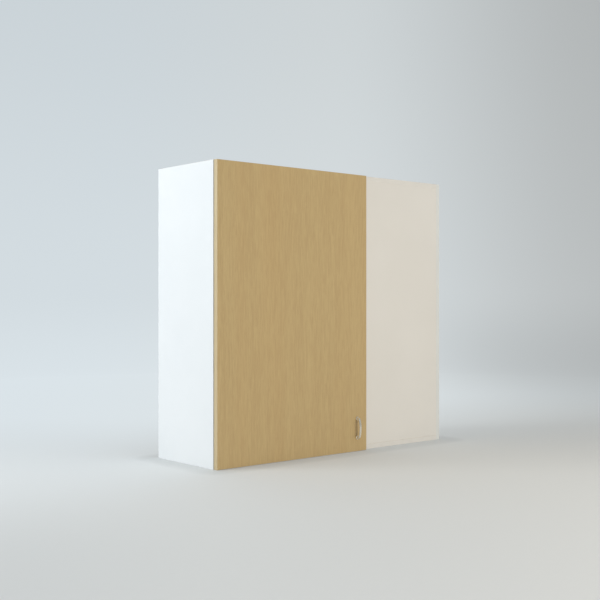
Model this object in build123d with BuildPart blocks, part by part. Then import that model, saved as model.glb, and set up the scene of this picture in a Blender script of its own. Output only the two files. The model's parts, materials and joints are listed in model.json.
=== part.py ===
from build123d import *
import os

# A blind corner wall cabinet, in millimetres. +Z is up, +X runs along the front from the
# hinged door to the blind panel, and -Y faces the room. The origin lies under the cabinet,
# at the middle of its width and of its depth over the handle.

os.makedirs("parts", exist_ok=True)

# ---------------------------------------------------------------- carcass
cabinet_width = 1000.0
cabinet_height = 920.0
carcass_depth = 300.0
board = 16.0
band = 0.8  # edge band on the carcass's front edges
band_radius = 0.4
back_board = 3.0
back_recess = 18.0  # room behind the back panel for the wall plates
groove_depth = 8.0
groove_play = 0.1  # on each face of the back panel
groove_end_play = 0.5

# ---------------------------------------------------------------- door and blind panel
door_width = 614.0
door_board = 16.0
door_band = 1.0
door_band_radius = 0.8
door_reveal = 1.0  # the door stays this far inside the carcass's outline
door_gap = 2.0  # between the carcass's front and the door's back
blind_overlap = 30.0  # the blind panel reaches this far behind the door
bumper_radius = 4.0
bumper_dome = 1.2
bumper_play = 0.1
bumper_edge_inset = 15.0
bumper_end_inset = 60.0

# ---------------------------------------------------------------- shelves
shelf_board = 16.0
shelf_end_play = 1.2
shelf_back_play = 2.0
shelf_set_back = 4.0  # behind the blind panel
hole_pitch = 32.0
hole_row_inset = 37.0  # front row of holes from the carcass's front
hole_row_steps = 6  # pitches from the front row to the rear row
shelf_step = 4  # pitches from the middle pair of holes to each shelf's hole
spare_holes = 2  # above and below each shelf's own hole
pin_hole_radius = 2.5
pin_hole_depth = 11.0
pin_play = 0.05
pin_stem = 10.0
pin_collar_radius = 3.4
pin_collar = 0.8
pin_lift = 2.5  # from the hole's axis to the shelf's underside
pin_tongue = 3.5
pin_tongue_width = 7.0
pin_tongue_radius = 2.0
pin_reach = 9.0

# ---------------------------------------------------------------- cam fittings and dowels
cam_pocket_radius = 7.5
cam_pocket_depth = 12.5
cam_play = 0.1
cam_sink = 0.2  # the cam's top lies this far below the board's face
cam_inset = 34.0  # from the joint to the cam's axis
cam_front_inset = 60.0
cam_back_inset = 80.0
cam_edge = 0.4
cam_slot = 1.4
cam_slot_depth = 2.2
cam_slot_length = 8.0
cap_radius = 8.5
cap_thickness = 1.0
cap_edge = 0.6
cap_spigot_radius = 0.6
cap_spigot = 1.5
thread_bore_radius = 2.5
thread_depth = 11.0
shank_bore_radius = 4.0
shank_radius = 3.5
shank_length = 25.0
neck_radius = 2.0
head_radius = 3.2
head_length = 3.5
head_play = 0.6
head_edge = 0.8
tip_chamfer = 1.0
dowel_radius = 4.0
dowel_play = 0.05
dowel_in_face = 10.0
dowel_in_edge = 20.0
dowel_end_play = 0.5
dowel_chamfer = 0.8
dowel_front_inset = 28.0
dowel_back_inset = 48.0
blind_dowel_inset = 40.0
blind_cam_inset = 90.0
blind_side_dowel_inset = 200.0

# ---------------------------------------------------------------- handle
handle_reach = 21.0
handle_spacing = 64.0
handle_edge_inset = 45.0
handle_bottom_inset = 45.0
grip_width = 8.5
grip_thickness = 6.4
foot_width = 15.0
foot_height = 16.0
handle_corner_radius = 8.0
handle_crown = 4.5  # the bowed grip's middle stands this much further out than its ends
handle_screw_radius = 2.0
handle_screw_play = 0.05
handle_bore_play = 0.5
handle_screw_depth = 7.0
handle_head_radius = 4.2
handle_head = 2.4
handle_head_dome = 1.5

# ---------------------------------------------------------------- concealed hinges
hinge_steps = 11  # pitches from the middle hinge to each outer hinge
cup_edge = 20.5  # cup's axis from the door's edge
cup_bore_radius = 17.5
cup_bore_depth = 12.8
cup_play = 0.1
cup_depth = 12.6
cup_wall = 1.0
cup_floor = 0.9
wing_thickness = 1.2
wing_width = 15.0
wing_reach = 29.0
wing_radius = 4.0
cup_screw_offset = 6.0
cup_screw_spread = 24.0
cup_screw_radius = 1.7
cup_screw_head_radius = 3.4
cup_screw_head = 1.4
cup_screw_depth = 10.0
small_head_dome = 0.9
recess_width = 1.1
recess_depth = 1.0
recess_reach = 0.62  # of the head's radius
screw_play = 0.05
through_play = 0.2
pivot_radius = 1.25
pivot_play = 0.05  # between a pin and the link that turns on it
pivot_seat_play = 0.02  # between a pin and the piece that holds it
outer_arm_pin_lift = 21.0  # arm's pins from the side panel's inner face
outer_arm_pin_set = 2.0  # and behind the carcass's front plane
inner_arm_pin_lift = 13.2
inner_arm_pin_set = -7.0
outer_cup_pin_offset = 9.0  # cup's pins from the cup's axis, towards the door's edge
outer_cup_pin_depth = 3.2  # and below the door's back
inner_cup_pin_offset = 8.9
inner_cup_pin_depth = 7.2
inner_link_width = 8.0
level_play = 0.3  # between neighbouring plates of the linkage
arm_wall = 1.3
outer_link_wall = 1.2
pocket_play = 0.4
link_depth = 4.0
outer_link_bow = 1.5
inner_link_bow = 1.5
link_eye_radius = 2.4
spacer_radius = 1.2
spacer_along = 14.0  # outer link's spacer, from the cup's pin along the link
spacer_aside = 3.4
slot_play = 0.65  # open pivot: across the inner link
slot_travel = 1.7  # open pivot: along the inner link
slot_wall = 1.0
nose_radius = 2.3
arm_low = 3.0  # arm's flanges from the side panel
arm_high = 13.0
arm_start = 16.0  # behind the carcass's front plane
arm_shoulder = 24.0
arm_end = 64.0
arm_web_share = 0.7  # how far the web runs up the slope to the outer pin
plate_thickness = 2.0
plate_half_height = 22.0
plate_wing_width = 16.0
plate_start = 20.0
plate_end = 66.0
rail_height = 8.0
rail_play = 0.2
plate_screw_radius = 2.5
plate_screw_head_radius = 4.4
plate_screw_head = 1.6
adjuster_radius = 1.9
adjuster_head_radius = 3.2
adjuster_head = 1.4
adjuster_depth = 6.0
side_adjuster_set = 28.0
depth_adjuster_set = 56.0

# ---------------------------------------------------------------- hangers and wall plates
hanger_top_gap = 6.0  # below the top panel
hanger_height = 58.0
hanger_depth = 46.0
hanger_width = 18.0
hanger_sheet = 1.5
hanger_back_gap = 2.0
hook_sheet = 3.0
hook_offset = 8.0  # hook's strip from the side panel
hook_arm_height = 9.0
hook_arm_drop = 12.0  # hook arm's top below the housing's top
hook_lip_drop = 10.0
hook_wall_gap = 3.5
hook_travel = 5.0
hook_play = 0.3
plate_sheet = 2.0
plate_width = 40.0
plate_lip = 14.0
plate_joggle = 8.0
plate_foot = 38.0
plate_stand_off = 7.0  # lip's rear face from the wall
plate_side_gap = 3.0
plate_hole_radius = 4.0
plate_hole_spacing = 24.0
plate_hole_rise = 18.0
hanger_screw_radius = 2.0
hanger_screw_head_radius = 3.6
hanger_screw_head = 1.5
hanger_screw_depth = 11.0
hanger_screw_spread = 32.0
hook_screw_radius = 2.5
hook_screw_head_radius = 4.0
hook_screw_head = 3.0
hook_screw_spread = 22.0
hook_screw_edge = 0.5
cover_wall = 1.2
cover_play = 0.6
cover_front_play = 5.0
cover_hole_radius = 5.0
cover_edge = 1.8
window_play = 2.0

# ---------------------------------------------------------------- places that follow from them
left_x = -cabinet_width / 2
right_x = cabinet_width / 2
back_y = (handle_reach + door_board + door_gap + carcass_depth) / 2
front_y = back_y - carcass_depth
door_back_y = front_y - door_gap
door_front_y = door_back_y - door_board
back_rear_y = back_y - back_recess
back_front_y = back_rear_y - back_board
left_face_x = left_x + board
right_face_x = right_x - board
top_face_z = cabinet_height - board
middle_z = cabinet_height / 2
door_left_x = left_x + door_reveal
door_right_x = door_left_x + door_width
door_bottom_z = door_reveal
door_top_z = cabinet_height - door_reveal
blind_left_x = door_right_x - blind_overlap
blind_rear_y = front_y + board
blind_middle_y = front_y + board / 2
shelf_front_y = blind_rear_y + shelf_set_back

above = (Align.CENTER, Align.CENTER, Align.MIN)
below = (Align.CENTER, Align.CENTER, Align.MAX)


def save(part, name):
    part.label = name
    export_step(part, f"parts/{name}.step")


def block(x0, x1, y0, y1, z0, z1, mode=Mode.ADD):
    """A straight block between two corners, in the part being built."""
    with BuildSketch(Plane.XY.offset(z0)) as outline:
        with Locations(((x0 + x1) / 2, (y0 + y1) / 2)):
            Rectangle(x1 - x0, y1 - y0)
    extrude(outline.sketch, amount=z1 - z0, mode=mode)


def drill(plane, points, radius, depth):
    """Round holes of one size, as deep as given along the plane's normal."""
    with BuildSketch(plane) as holes:
        with Locations(*points):
            Circle(radius)
    extrude(holes.sketch, amount=depth, mode=Mode.SUBTRACT)


def copies(piece, places):
    """The same piece at several places, as separate solids of one node."""
    with BuildPart() as group:
        with Locations(*places):
            add(piece)
    return group.part


def round_top(piece, radius):
    """Rounds the rim of the highest face of the piece being built."""
    fillet(piece.faces().sort_by(Axis.Z)[-1].edges(), radius)


def cross_recess(top_z, head_radius):
    """A screwdriver's cross in the head being built."""
    reach = 2 * recess_reach * head_radius
    with Locations((0, 0, top_z)):
        Box(reach, recess_width, recess_depth, align=below, mode=Mode.SUBTRACT)
        Box(recess_width, reach, recess_depth, align=below, mode=Mode.SUBTRACT)


# ---------------------------------------------------------------- where the boards are joined
cam_rows = (front_y + cam_front_inset, back_y - cam_back_inset)
dowel_rows = (front_y + dowel_front_inset, back_y - dowel_back_inset)
blind_dowel_columns = (blind_left_x + blind_dowel_inset, right_face_x - blind_dowel_inset)
blind_cam_columns = (blind_left_x + blind_cam_inset, right_face_x - blind_cam_inset)
blind_side_levels = (
    blind_side_dowel_inset,
    middle_z,
    cabinet_height - blind_side_dowel_inset,
)
bolt_seats = []  # where a bolt enters a board's face, looking out of that face
top_cams = []  # where a cam enters its board, with +X towards the bolt
covered_cams = []
dowel_seats = []
for side in (-1, 1):
    face_x = side * right_face_x
    cam_x = side * (right_face_x - cam_inset)
    for level, cam_z, cams in (
        (board / 2, board, covered_cams),
        (cabinet_height - board / 2, cabinet_height, top_cams),
    ):
        for y in cam_rows:
            bolt_seats.append(Plane((face_x, y, level), z_dir=(-side, 0, 0)))
            cams.append(Plane((cam_x, y, cam_z), x_dir=(side, 0, 0), z_dir=(0, 0, 1)))
        for y in dowel_rows:
            dowel_seats.append(Plane((face_x, y, level), z_dir=(-side, 0, 0)))
for end, face_z in ((-1, board), (1, top_face_z)):
    cam_z = face_z - end * cam_inset
    for x in blind_cam_columns:
        bolt_seats.append(Plane((x, blind_middle_y, face_z), z_dir=(0, 0, -end)))
        covered_cams.append(Plane((x, blind_rear_y, cam_z), x_dir=(0, 0, end), z_dir=(0, 1, 0)))
    for x in blind_dowel_columns:
        dowel_seats.append(Plane((x, blind_middle_y, face_z), z_dir=(0, 0, -end)))
for z in blind_side_levels:
    dowel_seats.append(Plane((right_face_x, blind_middle_y, z), z_dir=(-1, 0, 0)))

# every hole that the joints need, cut out of each board in turn
with BuildPart() as joint_holes:
    with Locations(*bolt_seats):
        Cylinder(thread_bore_radius, thread_depth, align=below)
        Cylinder(shank_bore_radius, cam_inset, align=above)
    with Locations(*(top_cams + covered_cams)):
        Cylinder(cam_pocket_radius, cam_pocket_depth, align=below)
    with Locations(*dowel_seats):
        Cylinder(dowel_radius, dowel_in_face, align=below)
        Cylinder(dowel_radius, dowel_in_edge, align=above)


# ---------------------------------------------------------------- rows of holes in the sides
front_row_y = front_y + hole_row_inset
rear_row_y = front_row_y + hole_row_steps * hole_pitch
lower_hole_z = middle_z - hole_pitch / 2 - shelf_step * hole_pitch
upper_hole_z = middle_z + hole_pitch / 2 + shelf_step * hole_pitch
hinge_levels = {
    "lower": middle_z - hinge_steps * hole_pitch,
    "middle": middle_z,
    "upper": middle_z + hinge_steps * hole_pitch,
}
shelf_holes = []
for hole_z in (lower_hole_z, upper_hole_z):
    for step in range(-spare_holes, spare_holes + 1):
        for y in (front_row_y, rear_row_y):
            shelf_holes.append((y, hole_z + step * hole_pitch))
plate_holes = []
for z in hinge_levels.values():
    for rise in (-hole_pitch / 2, hole_pitch / 2):
        plate_holes.append((front_row_y, z + rise))

hanger_top_z = top_face_z - hanger_top_gap
hanger_bottom_z = hanger_top_z - hanger_height
hanger_back_y = back_front_y - hanger_back_gap
hanger_front_y = hanger_back_y - hanger_depth
hanger_middle_y = (hanger_front_y + hanger_back_y) / 2
hanger_middle_z = (hanger_bottom_z + hanger_top_z) / 2
hanger_screw_points = []
for rise in (-hanger_screw_spread / 2, hanger_screw_spread / 2):
    hanger_screw_points.append((hanger_middle_y, hanger_middle_z + rise))


# ---------------------------------------------------------------- carcass boards
def side_board(side):
    """A carcass side: -1 for the left one, 1 for the right one."""
    outer_x = side * right_x
    inner_x = side * right_face_x
    inner_face = Plane.YZ.offset(inner_x)
    groove_x = inner_x + side * groove_depth
    groove_front = back_front_y - groove_play
    groove_rear = back_rear_y + groove_play
    with BuildPart() as panel:
        block(min(outer_x, inner_x), max(outer_x, inner_x), front_y + band, back_y, 0, cabinet_height)
        block(
            min(groove_x, inner_x),
            max(groove_x, inner_x),
            groove_front,
            groove_rear,
            0,
            cabinet_height,
            mode=Mode.SUBTRACT,
        )
        drill(inner_face, shelf_holes, pin_hole_radius, side * pin_hole_depth)
        drill(inner_face, hanger_screw_points, hanger_screw_radius + screw_play, side * hanger_screw_depth)
        if side < 0:
            drill(inner_face, plate_holes, plate_screw_radius, side * thread_depth)
        add(joint_holes.part, mode=Mode.SUBTRACT)
    return panel.part


def cross_board(z0, z1, groove_z0, groove_z1):
    """The top or the bottom panel, between the sides."""
    with BuildPart() as panel:
        block(left_face_x, right_face_x, front_y + band, back_y, z0, z1)
        block(
            left_face_x,
            right_face_x,
            back_front_y - groove_play,
            back_rear_y + groove_play,
            groove_z0,
            groove_z1,
            mode=Mode.SUBTRACT,
        )
        add(joint_holes.part, mode=Mode.SUBTRACT)
    return panel.part


def front_band(x0, x1, z0, z1):
    along = Axis.Z if z1 - z0 > x1 - x0 else Axis.X
    with BuildPart() as strip:
        block(x0, x1, front_y, front_y + band, z0, z1)
        front_face = strip.faces().sort_by(Axis.Y)[0]
        fillet(front_face.edges().filter_by(along), band_radius)
    return strip.part


save(side_board(-1), "left_side")
save(side_board(1), "right_side")
save(cross_board(0, board, board - groove_depth, board), "bottom_panel")
save(cross_board(top_face_z, cabinet_height, top_face_z, top_face_z + groove_depth), "top_panel")
save(front_band(left_x, left_face_x, 0, cabinet_height), "left_side_edge_band")
save(front_band(right_face_x, right_x, 0, cabinet_height), "right_side_edge_band")
save(front_band(left_face_x, right_face_x, 0, board), "bottom_panel_edge_band")
save(front_band(left_face_x, right_face_x, top_face_z, cabinet_height), "top_panel_edge_band")

# back panel, with a window in each upper corner for the hanger's hook
window_depth = hook_offset + hook_sheet + window_play
window_top_z = hanger_top_z - hanger_sheet
window_bottom_z = hanger_top_z - hook_arm_drop - hook_arm_height - hook_travel - window_play
with BuildPart() as back_panel:
    block(
        left_face_x - groove_depth + groove_end_play,
        right_face_x + groove_depth - groove_end_play,
        back_front_y,
        back_rear_y,
        board - groove_depth + groove_end_play,
        top_face_z + groove_depth - groove_end_play,
    )
    for inner_x, reach_x in (
        (left_face_x + window_play, left_face_x + window_depth),
        (right_face_x - window_depth, right_face_x - window_play),
    ):
        block(
            inner_x,
            reach_x,
            back_front_y,
            back_rear_y,
            window_bottom_z,
            window_top_z,
            mode=Mode.SUBTRACT,
        )
save(back_panel.part, "back_panel")

# blind panel, flush with the carcass's front
with BuildPart() as blind_panel:
    block(blind_left_x + band, right_face_x, front_y, blind_rear_y, board, top_face_z)
    add(joint_holes.part, mode=Mode.SUBTRACT)
save(blind_panel.part, "blind_panel")
with BuildPart() as blind_band:
    block(blind_left_x, blind_left_x + band, front_y, blind_rear_y, board, top_face_z)
    fillet(blind_band.faces().sort_by(Axis.X)[0].edges().filter_by(Axis.Z), band_radius)
save(blind_band.part, "blind_panel_edge_band")

# bumpers that the closed door meets
bumper_places = []
for z in (bumper_end_inset, cabinet_height - bumper_end_inset):
    bumper_places.append(Plane((door_right_x - bumper_edge_inset, front_y, z), z_dir=(0, -1, 0)))
with BuildPart() as bumper:
    Cylinder(bumper_radius, door_gap - bumper_play, align=above)
    round_top(bumper, bumper_dome)
save(copies(bumper.part, bumper_places), "door_bumpers")

# ---------------------------------------------------------------- fittings that join the boards
with BuildPart() as cam_bolt:
    Cylinder(thread_bore_radius - pin_play, thread_depth - dowel_end_play, align=below)
    chamfer(cam_bolt.faces().sort_by(Axis.Z)[0].edges(), tip_chamfer)
    Cylinder(shank_radius, shank_length, align=above)
    with Locations((0, 0, shank_length)):
        Cylinder(neck_radius, cam_inset - shank_length, align=above)
    with Locations((0, 0, cam_inset - head_length / 2)):
        Cylinder(head_radius, head_length, align=above)
    round_top(cam_bolt, head_edge)
save(copies(cam_bolt.part, bolt_seats), "cam_bolts")

cam_radius = cam_pocket_radius - cam_play
cam_height = cam_pocket_depth - cam_sink - cam_play
head_room = head_radius + head_play
with BuildPart() as cam_housing:
    with Locations((0, 0, -cam_sink)):
        Cylinder(cam_radius, cam_height, align=below)
    round_top(cam_housing, cam_edge)
    with Locations((-head_room, 0, -board / 2)):
        Box(
            head_room + cam_radius,
            2 * head_room,
            2 * head_room,
            align=(Align.MIN, Align.CENTER, Align.CENTER),
            mode=Mode.SUBTRACT,
        )
    with Locations((0, 0, -cam_sink)):
        Box(cam_slot_length, cam_slot, cam_slot_depth, align=below, mode=Mode.SUBTRACT)
        Box(cam_slot, cam_slot_length, cam_slot_depth, align=below, mode=Mode.SUBTRACT)
save(copies(cam_housing.part, top_cams + covered_cams), "cam_housings")

with BuildPart() as cam_cap:
    Cylinder(cap_radius, cap_thickness, align=above)
    round_top(cam_cap, cap_edge)
    Cylinder(cap_spigot_radius, cap_spigot, align=below)
save(copies(cam_cap.part, covered_cams), "cam_caps")

with BuildPart() as dowel:
    Cylinder(dowel_radius - dowel_play, dowel_in_face - dowel_end_play, align=below)
    Cylinder(dowel_radius - dowel_play, dowel_in_edge - dowel_end_play, align=above)
    dowel_ends = dowel.faces().filter_by(Axis.Z)
    chamfer(dowel_ends.edges(), dowel_chamfer)
save(copies(dowel.part, dowel_seats), "wooden_dowels")

# ---------------------------------------------------------------- shelves on their pins
with BuildPart() as shelf_pin:
    Cylinder(pin_hole_radius - pin_play, pin_stem, align=below)
    Cylinder(pin_collar_radius, pin_collar, align=above)
    with Locations((pin_lift, 0, 0)):
        Box(pin_tongue, pin_tongue_width, pin_reach, align=(Align.MAX, Align.CENTER, Align.MIN))
    tongue_end = shelf_pin.faces().sort_by(Axis.Z)[-1]
    fillet(tongue_end.edges().filter_by(Axis.X), pin_tongue_radius)

for name, hole_z in (("lower", lower_hole_z), ("upper", upper_hole_z)):
    shelf_z = hole_z + pin_lift
    shelf_left_x = left_face_x + shelf_end_play
    shelf_right_x = right_face_x - shelf_end_play
    with BuildPart() as shelf:
        block(
            shelf_left_x,
            shelf_right_x,
            shelf_front_y + band,
            back_front_y - shelf_back_play,
            shelf_z,
            shelf_z + shelf_board,
        )
    save(shelf.part, f"{name}_shelf")
    with BuildPart() as shelf_band:
        block(
            shelf_left_x,
            shelf_right_x,
            shelf_front_y,
            shelf_front_y + band,
            shelf_z,
            shelf_z + shelf_board,
        )
        fillet(shelf_band.faces().sort_by(Axis.Y)[0].edges().filter_by(Axis.X), band_radius)
    save(shelf_band.part, f"{name}_shelf_edge_band")
    pin_places = []
    for side in (-1, 1):
        for y in (front_row_y, rear_row_y):
            face_point = (side * right_face_x, y, hole_z)
            pin_places.append(Plane(face_point, x_dir=(0, 0, 1), z_dir=(-side, 0, 0)))
    save(copies(shelf_pin.part, pin_places), f"{name}_shelf_pins")

# ---------------------------------------------------------------- door
cup_x = door_left_x + cup_edge
cup_screw_x = cup_x + cup_screw_offset
door_back_face = Plane.XZ.offset(-door_back_y)
handle_x = door_right_x - handle_edge_inset
handle_low_z = door_bottom_z + handle_bottom_inset
handle_points = [(handle_x, handle_low_z), (handle_x, handle_low_z + handle_spacing)]
cup_points = [(cup_x, z) for z in hinge_levels.values()]
cup_screw_points = []
for z in hinge_levels.values():
    for rise in (-cup_screw_spread, cup_screw_spread):
        cup_screw_points.append((cup_screw_x, z + rise))

with BuildPart() as door_panel:
    block(
        door_left_x + door_band,
        door_right_x - door_band,
        door_front_y,
        door_back_y,
        door_bottom_z + door_band,
        door_top_z - door_band,
    )
    drill(door_back_face, cup_points, cup_bore_radius, cup_bore_depth)
    drill(door_back_face, cup_screw_points, cup_screw_radius + screw_play, cup_screw_depth)
    drill(door_back_face, handle_points, handle_screw_radius + handle_bore_play, door_board)
save(door_panel.part, "door_panel")

door_bands = {
    "left": (Axis.X, 0, (door_left_x, door_left_x + door_band, door_bottom_z, door_top_z)),
    "right": (Axis.X, -1, (door_right_x - door_band, door_right_x, door_bottom_z, door_top_z)),
    "bottom": (
        Axis.Z,
        0,
        (
            door_left_x + door_band,
            door_right_x - door_band,
            door_bottom_z,
            door_bottom_z + door_band,
        ),
    ),
    "top": (
        Axis.Z,
        -1,
        (
            door_left_x + door_band,
            door_right_x - door_band,
            door_top_z - door_band,
            door_top_z,
        ),
    ),
}
for name, (outward, last, (x0, x1, z0, z1)) in door_bands.items():
    along = Axis.Z if outward == Axis.X else Axis.X
    with BuildPart() as strip:
        block(x0, x1, door_front_y, door_back_y, z0, z1)
        outer_face = strip.faces().sort_by(outward)[last]
        fillet(outer_face.edges().filter_by(along), door_band_radius)
    save(strip.part, f"door_{name}_edge_band")

# ---------------------------------------------------------------- bow handle
grip_y = door_front_y - handle_reach + grip_thickness / 2
handle_high_z = handle_low_z + handle_spacing
handle_middle_z = (handle_low_z + handle_high_z) / 2
with BuildLine(Plane.YZ) as bow_line:
    low_end = (grip_y + handle_crown, handle_low_z)
    high_end = (grip_y + handle_crown, handle_high_z)
    Line((door_front_y, handle_low_z), low_end)
    ThreePointArc(low_end, (grip_y, handle_middle_z), high_end)
    Line(high_end, (door_front_y, handle_high_z))
    fillet(bow_line.vertices(), handle_corner_radius)
bow_wire = bow_line.wires()[0].moved(Location((handle_x, 0, 0)))
bow_stations = (0.0, 0.05, 0.1, 0.15, 0.21, 0.28, 0.38, 0.5, 0.62, 0.72, 0.79, 0.85, 0.9, 0.95, 1.0)
with BuildPart() as handle:
    for station in bow_stations:
        flare = abs(2 * station - 1) ** 4
        half_width = grip_width / 2 + flare * (foot_width - grip_width) / 2
        half_height = grip_thickness / 2 + flare * (foot_height - grip_thickness) / 2
        point = bow_wire.position_at(station)
        tangent = bow_wire.tangent_at(station)
        with BuildSketch(Plane(point, x_dir=(1, 0, 0), z_dir=tangent)):
            Ellipse(half_width, half_height)
    loft()
    drill(
        Plane.XZ.offset(-door_front_y),
        handle_points,
        handle_screw_radius + handle_screw_play,
        handle_screw_depth + handle_screw_play,
    )
save(handle.part, "handle")

handle_screw_places = [Plane((x, door_back_y, z), z_dir=(0, 1, 0)) for x, z in handle_points]
with BuildPart() as handle_screw:
    Cylinder(handle_head_radius, handle_head, align=above)
    round_top(handle_screw, handle_head_dome)
    cross_recess(handle_head, handle_head_radius)
    Cylinder(handle_screw_radius, door_board + handle_screw_depth, align=below)
save(copies(handle_screw.part, handle_screw_places), "handle_screws")

# ---------------------------------------------------------------- concealed hinge, at height zero
outer_arm_pin = Vector(left_face_x + outer_arm_pin_lift, front_y + outer_arm_pin_set)
inner_arm_pin = Vector(left_face_x + inner_arm_pin_lift, front_y + inner_arm_pin_set)
outer_cup_pin = Vector(cup_x - outer_cup_pin_offset, door_back_y - outer_cup_pin_depth)
inner_cup_pin = Vector(cup_x - inner_cup_pin_offset, door_back_y - inner_cup_pin_depth)
inner_link_level = inner_link_width / 2
arm_inner_level = inner_link_level + level_play
arm_outer_level = arm_inner_level + arm_wall
outer_link_inner_level = arm_outer_level + level_play
outer_link_outer_level = outer_link_inner_level + outer_link_wall
pocket_level = outer_link_outer_level + pocket_play
pin_end_level = pocket_level + cup_wall
pocket_radius = cup_bore_radius - cup_play - cup_wall
pocket_depth = cup_depth - cup_floor


def plate_pair(outline, inner_level, outer_level, mode=Mode.ADD):
    """The same flat outline extruded above and below the hinge's middle plane."""
    for side in (-1, 1):
        face = outline.moved(Location((0, 0, side * inner_level)))
        extrude(face, amount=side * (outer_level - inner_level), mode=mode)


def bowed_strip(start, end, bow, width):
    """A strip of even width from one pin to another, bowed to the right of that way."""
    along = (end - start).normalized()
    middle = (start + end) / 2 + Vector(along.Y, -along.X) * bow
    with BuildSketch() as outline:
        with BuildLine():
            ThreePointArc(start, middle, end)
        trace(line_width=width)
        with Locations(start, end):
            Circle(link_eye_radius)
    return outline.sketch


def pin_hole(point, radius):
    with Locations((point.X, point.Y, 0)):
        Cylinder(radius, 2 * pin_end_level, mode=Mode.SUBTRACT)


# cup, with a narrow pocket for the links and the arm's nose
with BuildPart() as cup:
    with BuildSketch(door_back_face):
        with Locations((cup_x, 0)):
            Circle(cup_bore_radius - cup_play)
    extrude(amount=cup_depth)
    with BuildSketch(door_back_face):
        with Locations((cup_screw_x, 0)):
            RectangleRounded(wing_width, 2 * wing_reach, wing_radius)
    extrude(amount=-wing_thickness)
    with BuildSketch(door_back_face.offset(-wing_thickness)):
        with Locations((cup_x, 0)):
            Circle(pocket_radius)
            Rectangle(2 * pocket_radius, 2 * pocket_level, mode=Mode.INTERSECT)
    extrude(amount=wing_thickness + pocket_depth, mode=Mode.SUBTRACT)
    with BuildSketch(door_back_face.offset(-wing_thickness)):
        with Locations((cup_screw_x, -cup_screw_spread), (cup_screw_x, cup_screw_spread)):
            Circle(cup_screw_radius + through_play)
    extrude(amount=wing_thickness, mode=Mode.SUBTRACT)
    pin_hole(outer_cup_pin, pivot_radius + pivot_seat_play)
    pin_hole(inner_cup_pin, pivot_radius + pivot_seat_play)

with BuildPart() as cup_pins:
    with Locations((inner_cup_pin.X, inner_cup_pin.Y, 0)):
        Cylinder(pivot_radius, 2 * pin_end_level)
    stub = pin_end_level - outer_link_inner_level
    stub_middle = (pin_end_level + outer_link_inner_level) / 2
    with Locations(
        (outer_cup_pin.X, outer_cup_pin.Y, -stub_middle),
        (outer_cup_pin.X, outer_cup_pin.Y, stub_middle),
    ):
        Cylinder(pivot_radius, stub)

# outer link: two plates joined by a spacer that stands clear of the arm's nose
link_along = (outer_arm_pin - outer_cup_pin).normalized()
link_aside = Vector(-link_along.Y, link_along.X)
spacer_point = outer_cup_pin + link_along * spacer_along + link_aside * spacer_aside
with BuildSketch() as spacer_ear:
    with Locations(spacer_point, outer_cup_pin + link_along * spacer_along):
        Circle(spacer_radius)
    make_hull()
with BuildSketch() as outer_link_plate:
    add(bowed_strip(outer_cup_pin, outer_arm_pin, outer_link_bow, link_depth))
    add(spacer_ear.sketch)
with BuildPart() as outer_link:
    plate_pair(outer_link_plate.sketch, outer_link_inner_level, outer_link_outer_level)
    with Locations((spacer_point.X, spacer_point.Y, 0)):
        Cylinder(spacer_radius, 2 * outer_link_outer_level)
    pin_hole(outer_cup_pin, pivot_radius + pivot_play)
    pin_hole(outer_arm_pin, pivot_radius + pivot_play)

# inner link: a bar whose cup end has a short slot round its pin
slot_along = (inner_cup_pin - inner_arm_pin).normalized()
slot_end = inner_cup_pin + slot_along * slot_travel
slot_middle = (inner_cup_pin + slot_end) / 2
slot_angle = Vector(1, 0).get_signed_angle(slot_along, Vector(0, 0, 1))
slot_radius = pivot_radius + slot_play
with BuildPart() as inner_link:
    with BuildSketch(Plane.XY.offset(-inner_link_level)):
        add(bowed_strip(inner_cup_pin, inner_arm_pin, inner_link_bow, link_depth))
        with Locations(Location((slot_middle.X, slot_middle.Y, 0), (0, 0, slot_angle))):
            SlotCenterToCenter(slot_travel, 2 * (slot_radius + slot_wall))
            SlotCenterToCenter(slot_travel, 2 * slot_radius, mode=Mode.SUBTRACT)
    extrude(amount=inner_link_width)
    pin_hole(inner_arm_pin, pivot_radius + pivot_play)

# arm: a channel over the mounting plate, with a nose that carries the links
shoulder = Vector(left_face_x + arm_high, front_y + arm_shoulder)
slope = (outer_arm_pin - shoulder).normalized()
slope_out = Vector(-slope.Y, slope.X)
peak = outer_arm_pin + slope_out * nose_radius
arm_rear_y = front_y + arm_end
web_top = shoulder + (peak - shoulder) * arm_web_share
with BuildSketch() as arm_nose:
    with Locations(outer_arm_pin, inner_arm_pin):
        Circle(nose_radius)
    make_hull()
with BuildSketch() as arm_flange:
    with BuildLine():
        Polyline(
            (left_face_x + arm_low, arm_rear_y),
            (left_face_x + arm_high, arm_rear_y),
            shoulder,
            peak,
            outer_arm_pin - slope_out * nose_radius,
            (left_face_x + arm_high - link_depth, front_y + arm_start - link_depth),
            (left_face_x + arm_low, front_y + arm_start),
            close=True,
        )
    make_face()
    add(arm_nose.sketch)
with BuildPart() as arm:
    plate_pair(arm_flange.sketch, arm_inner_level, arm_outer_level)
    with BuildSketch(Plane.XY.offset(-arm_outer_level)):
        with BuildLine():
            Polyline(
                (left_face_x + arm_high, arm_rear_y),
                shoulder,
                web_top,
                web_top - slope_out * arm_wall,
                (left_face_x + arm_high - arm_wall, shoulder.Y),
                (left_face_x + arm_high - arm_wall, arm_rear_y),
                close=True,
            )
        make_face()
    extrude(amount=2 * arm_outer_level)
    pin_hole(outer_arm_pin, pivot_radius + pivot_seat_play)
    pin_hole(inner_arm_pin, pivot_radius + pivot_seat_play)
    with BuildSketch(Plane.YZ.offset(left_face_x + arm_high - arm_wall)):
        with Locations(
            (front_y + side_adjuster_set, 0),
            (front_y + depth_adjuster_set, 0),
        ):
            Circle(adjuster_radius + through_play)
    extrude(amount=arm_wall, mode=Mode.SUBTRACT)

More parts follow.
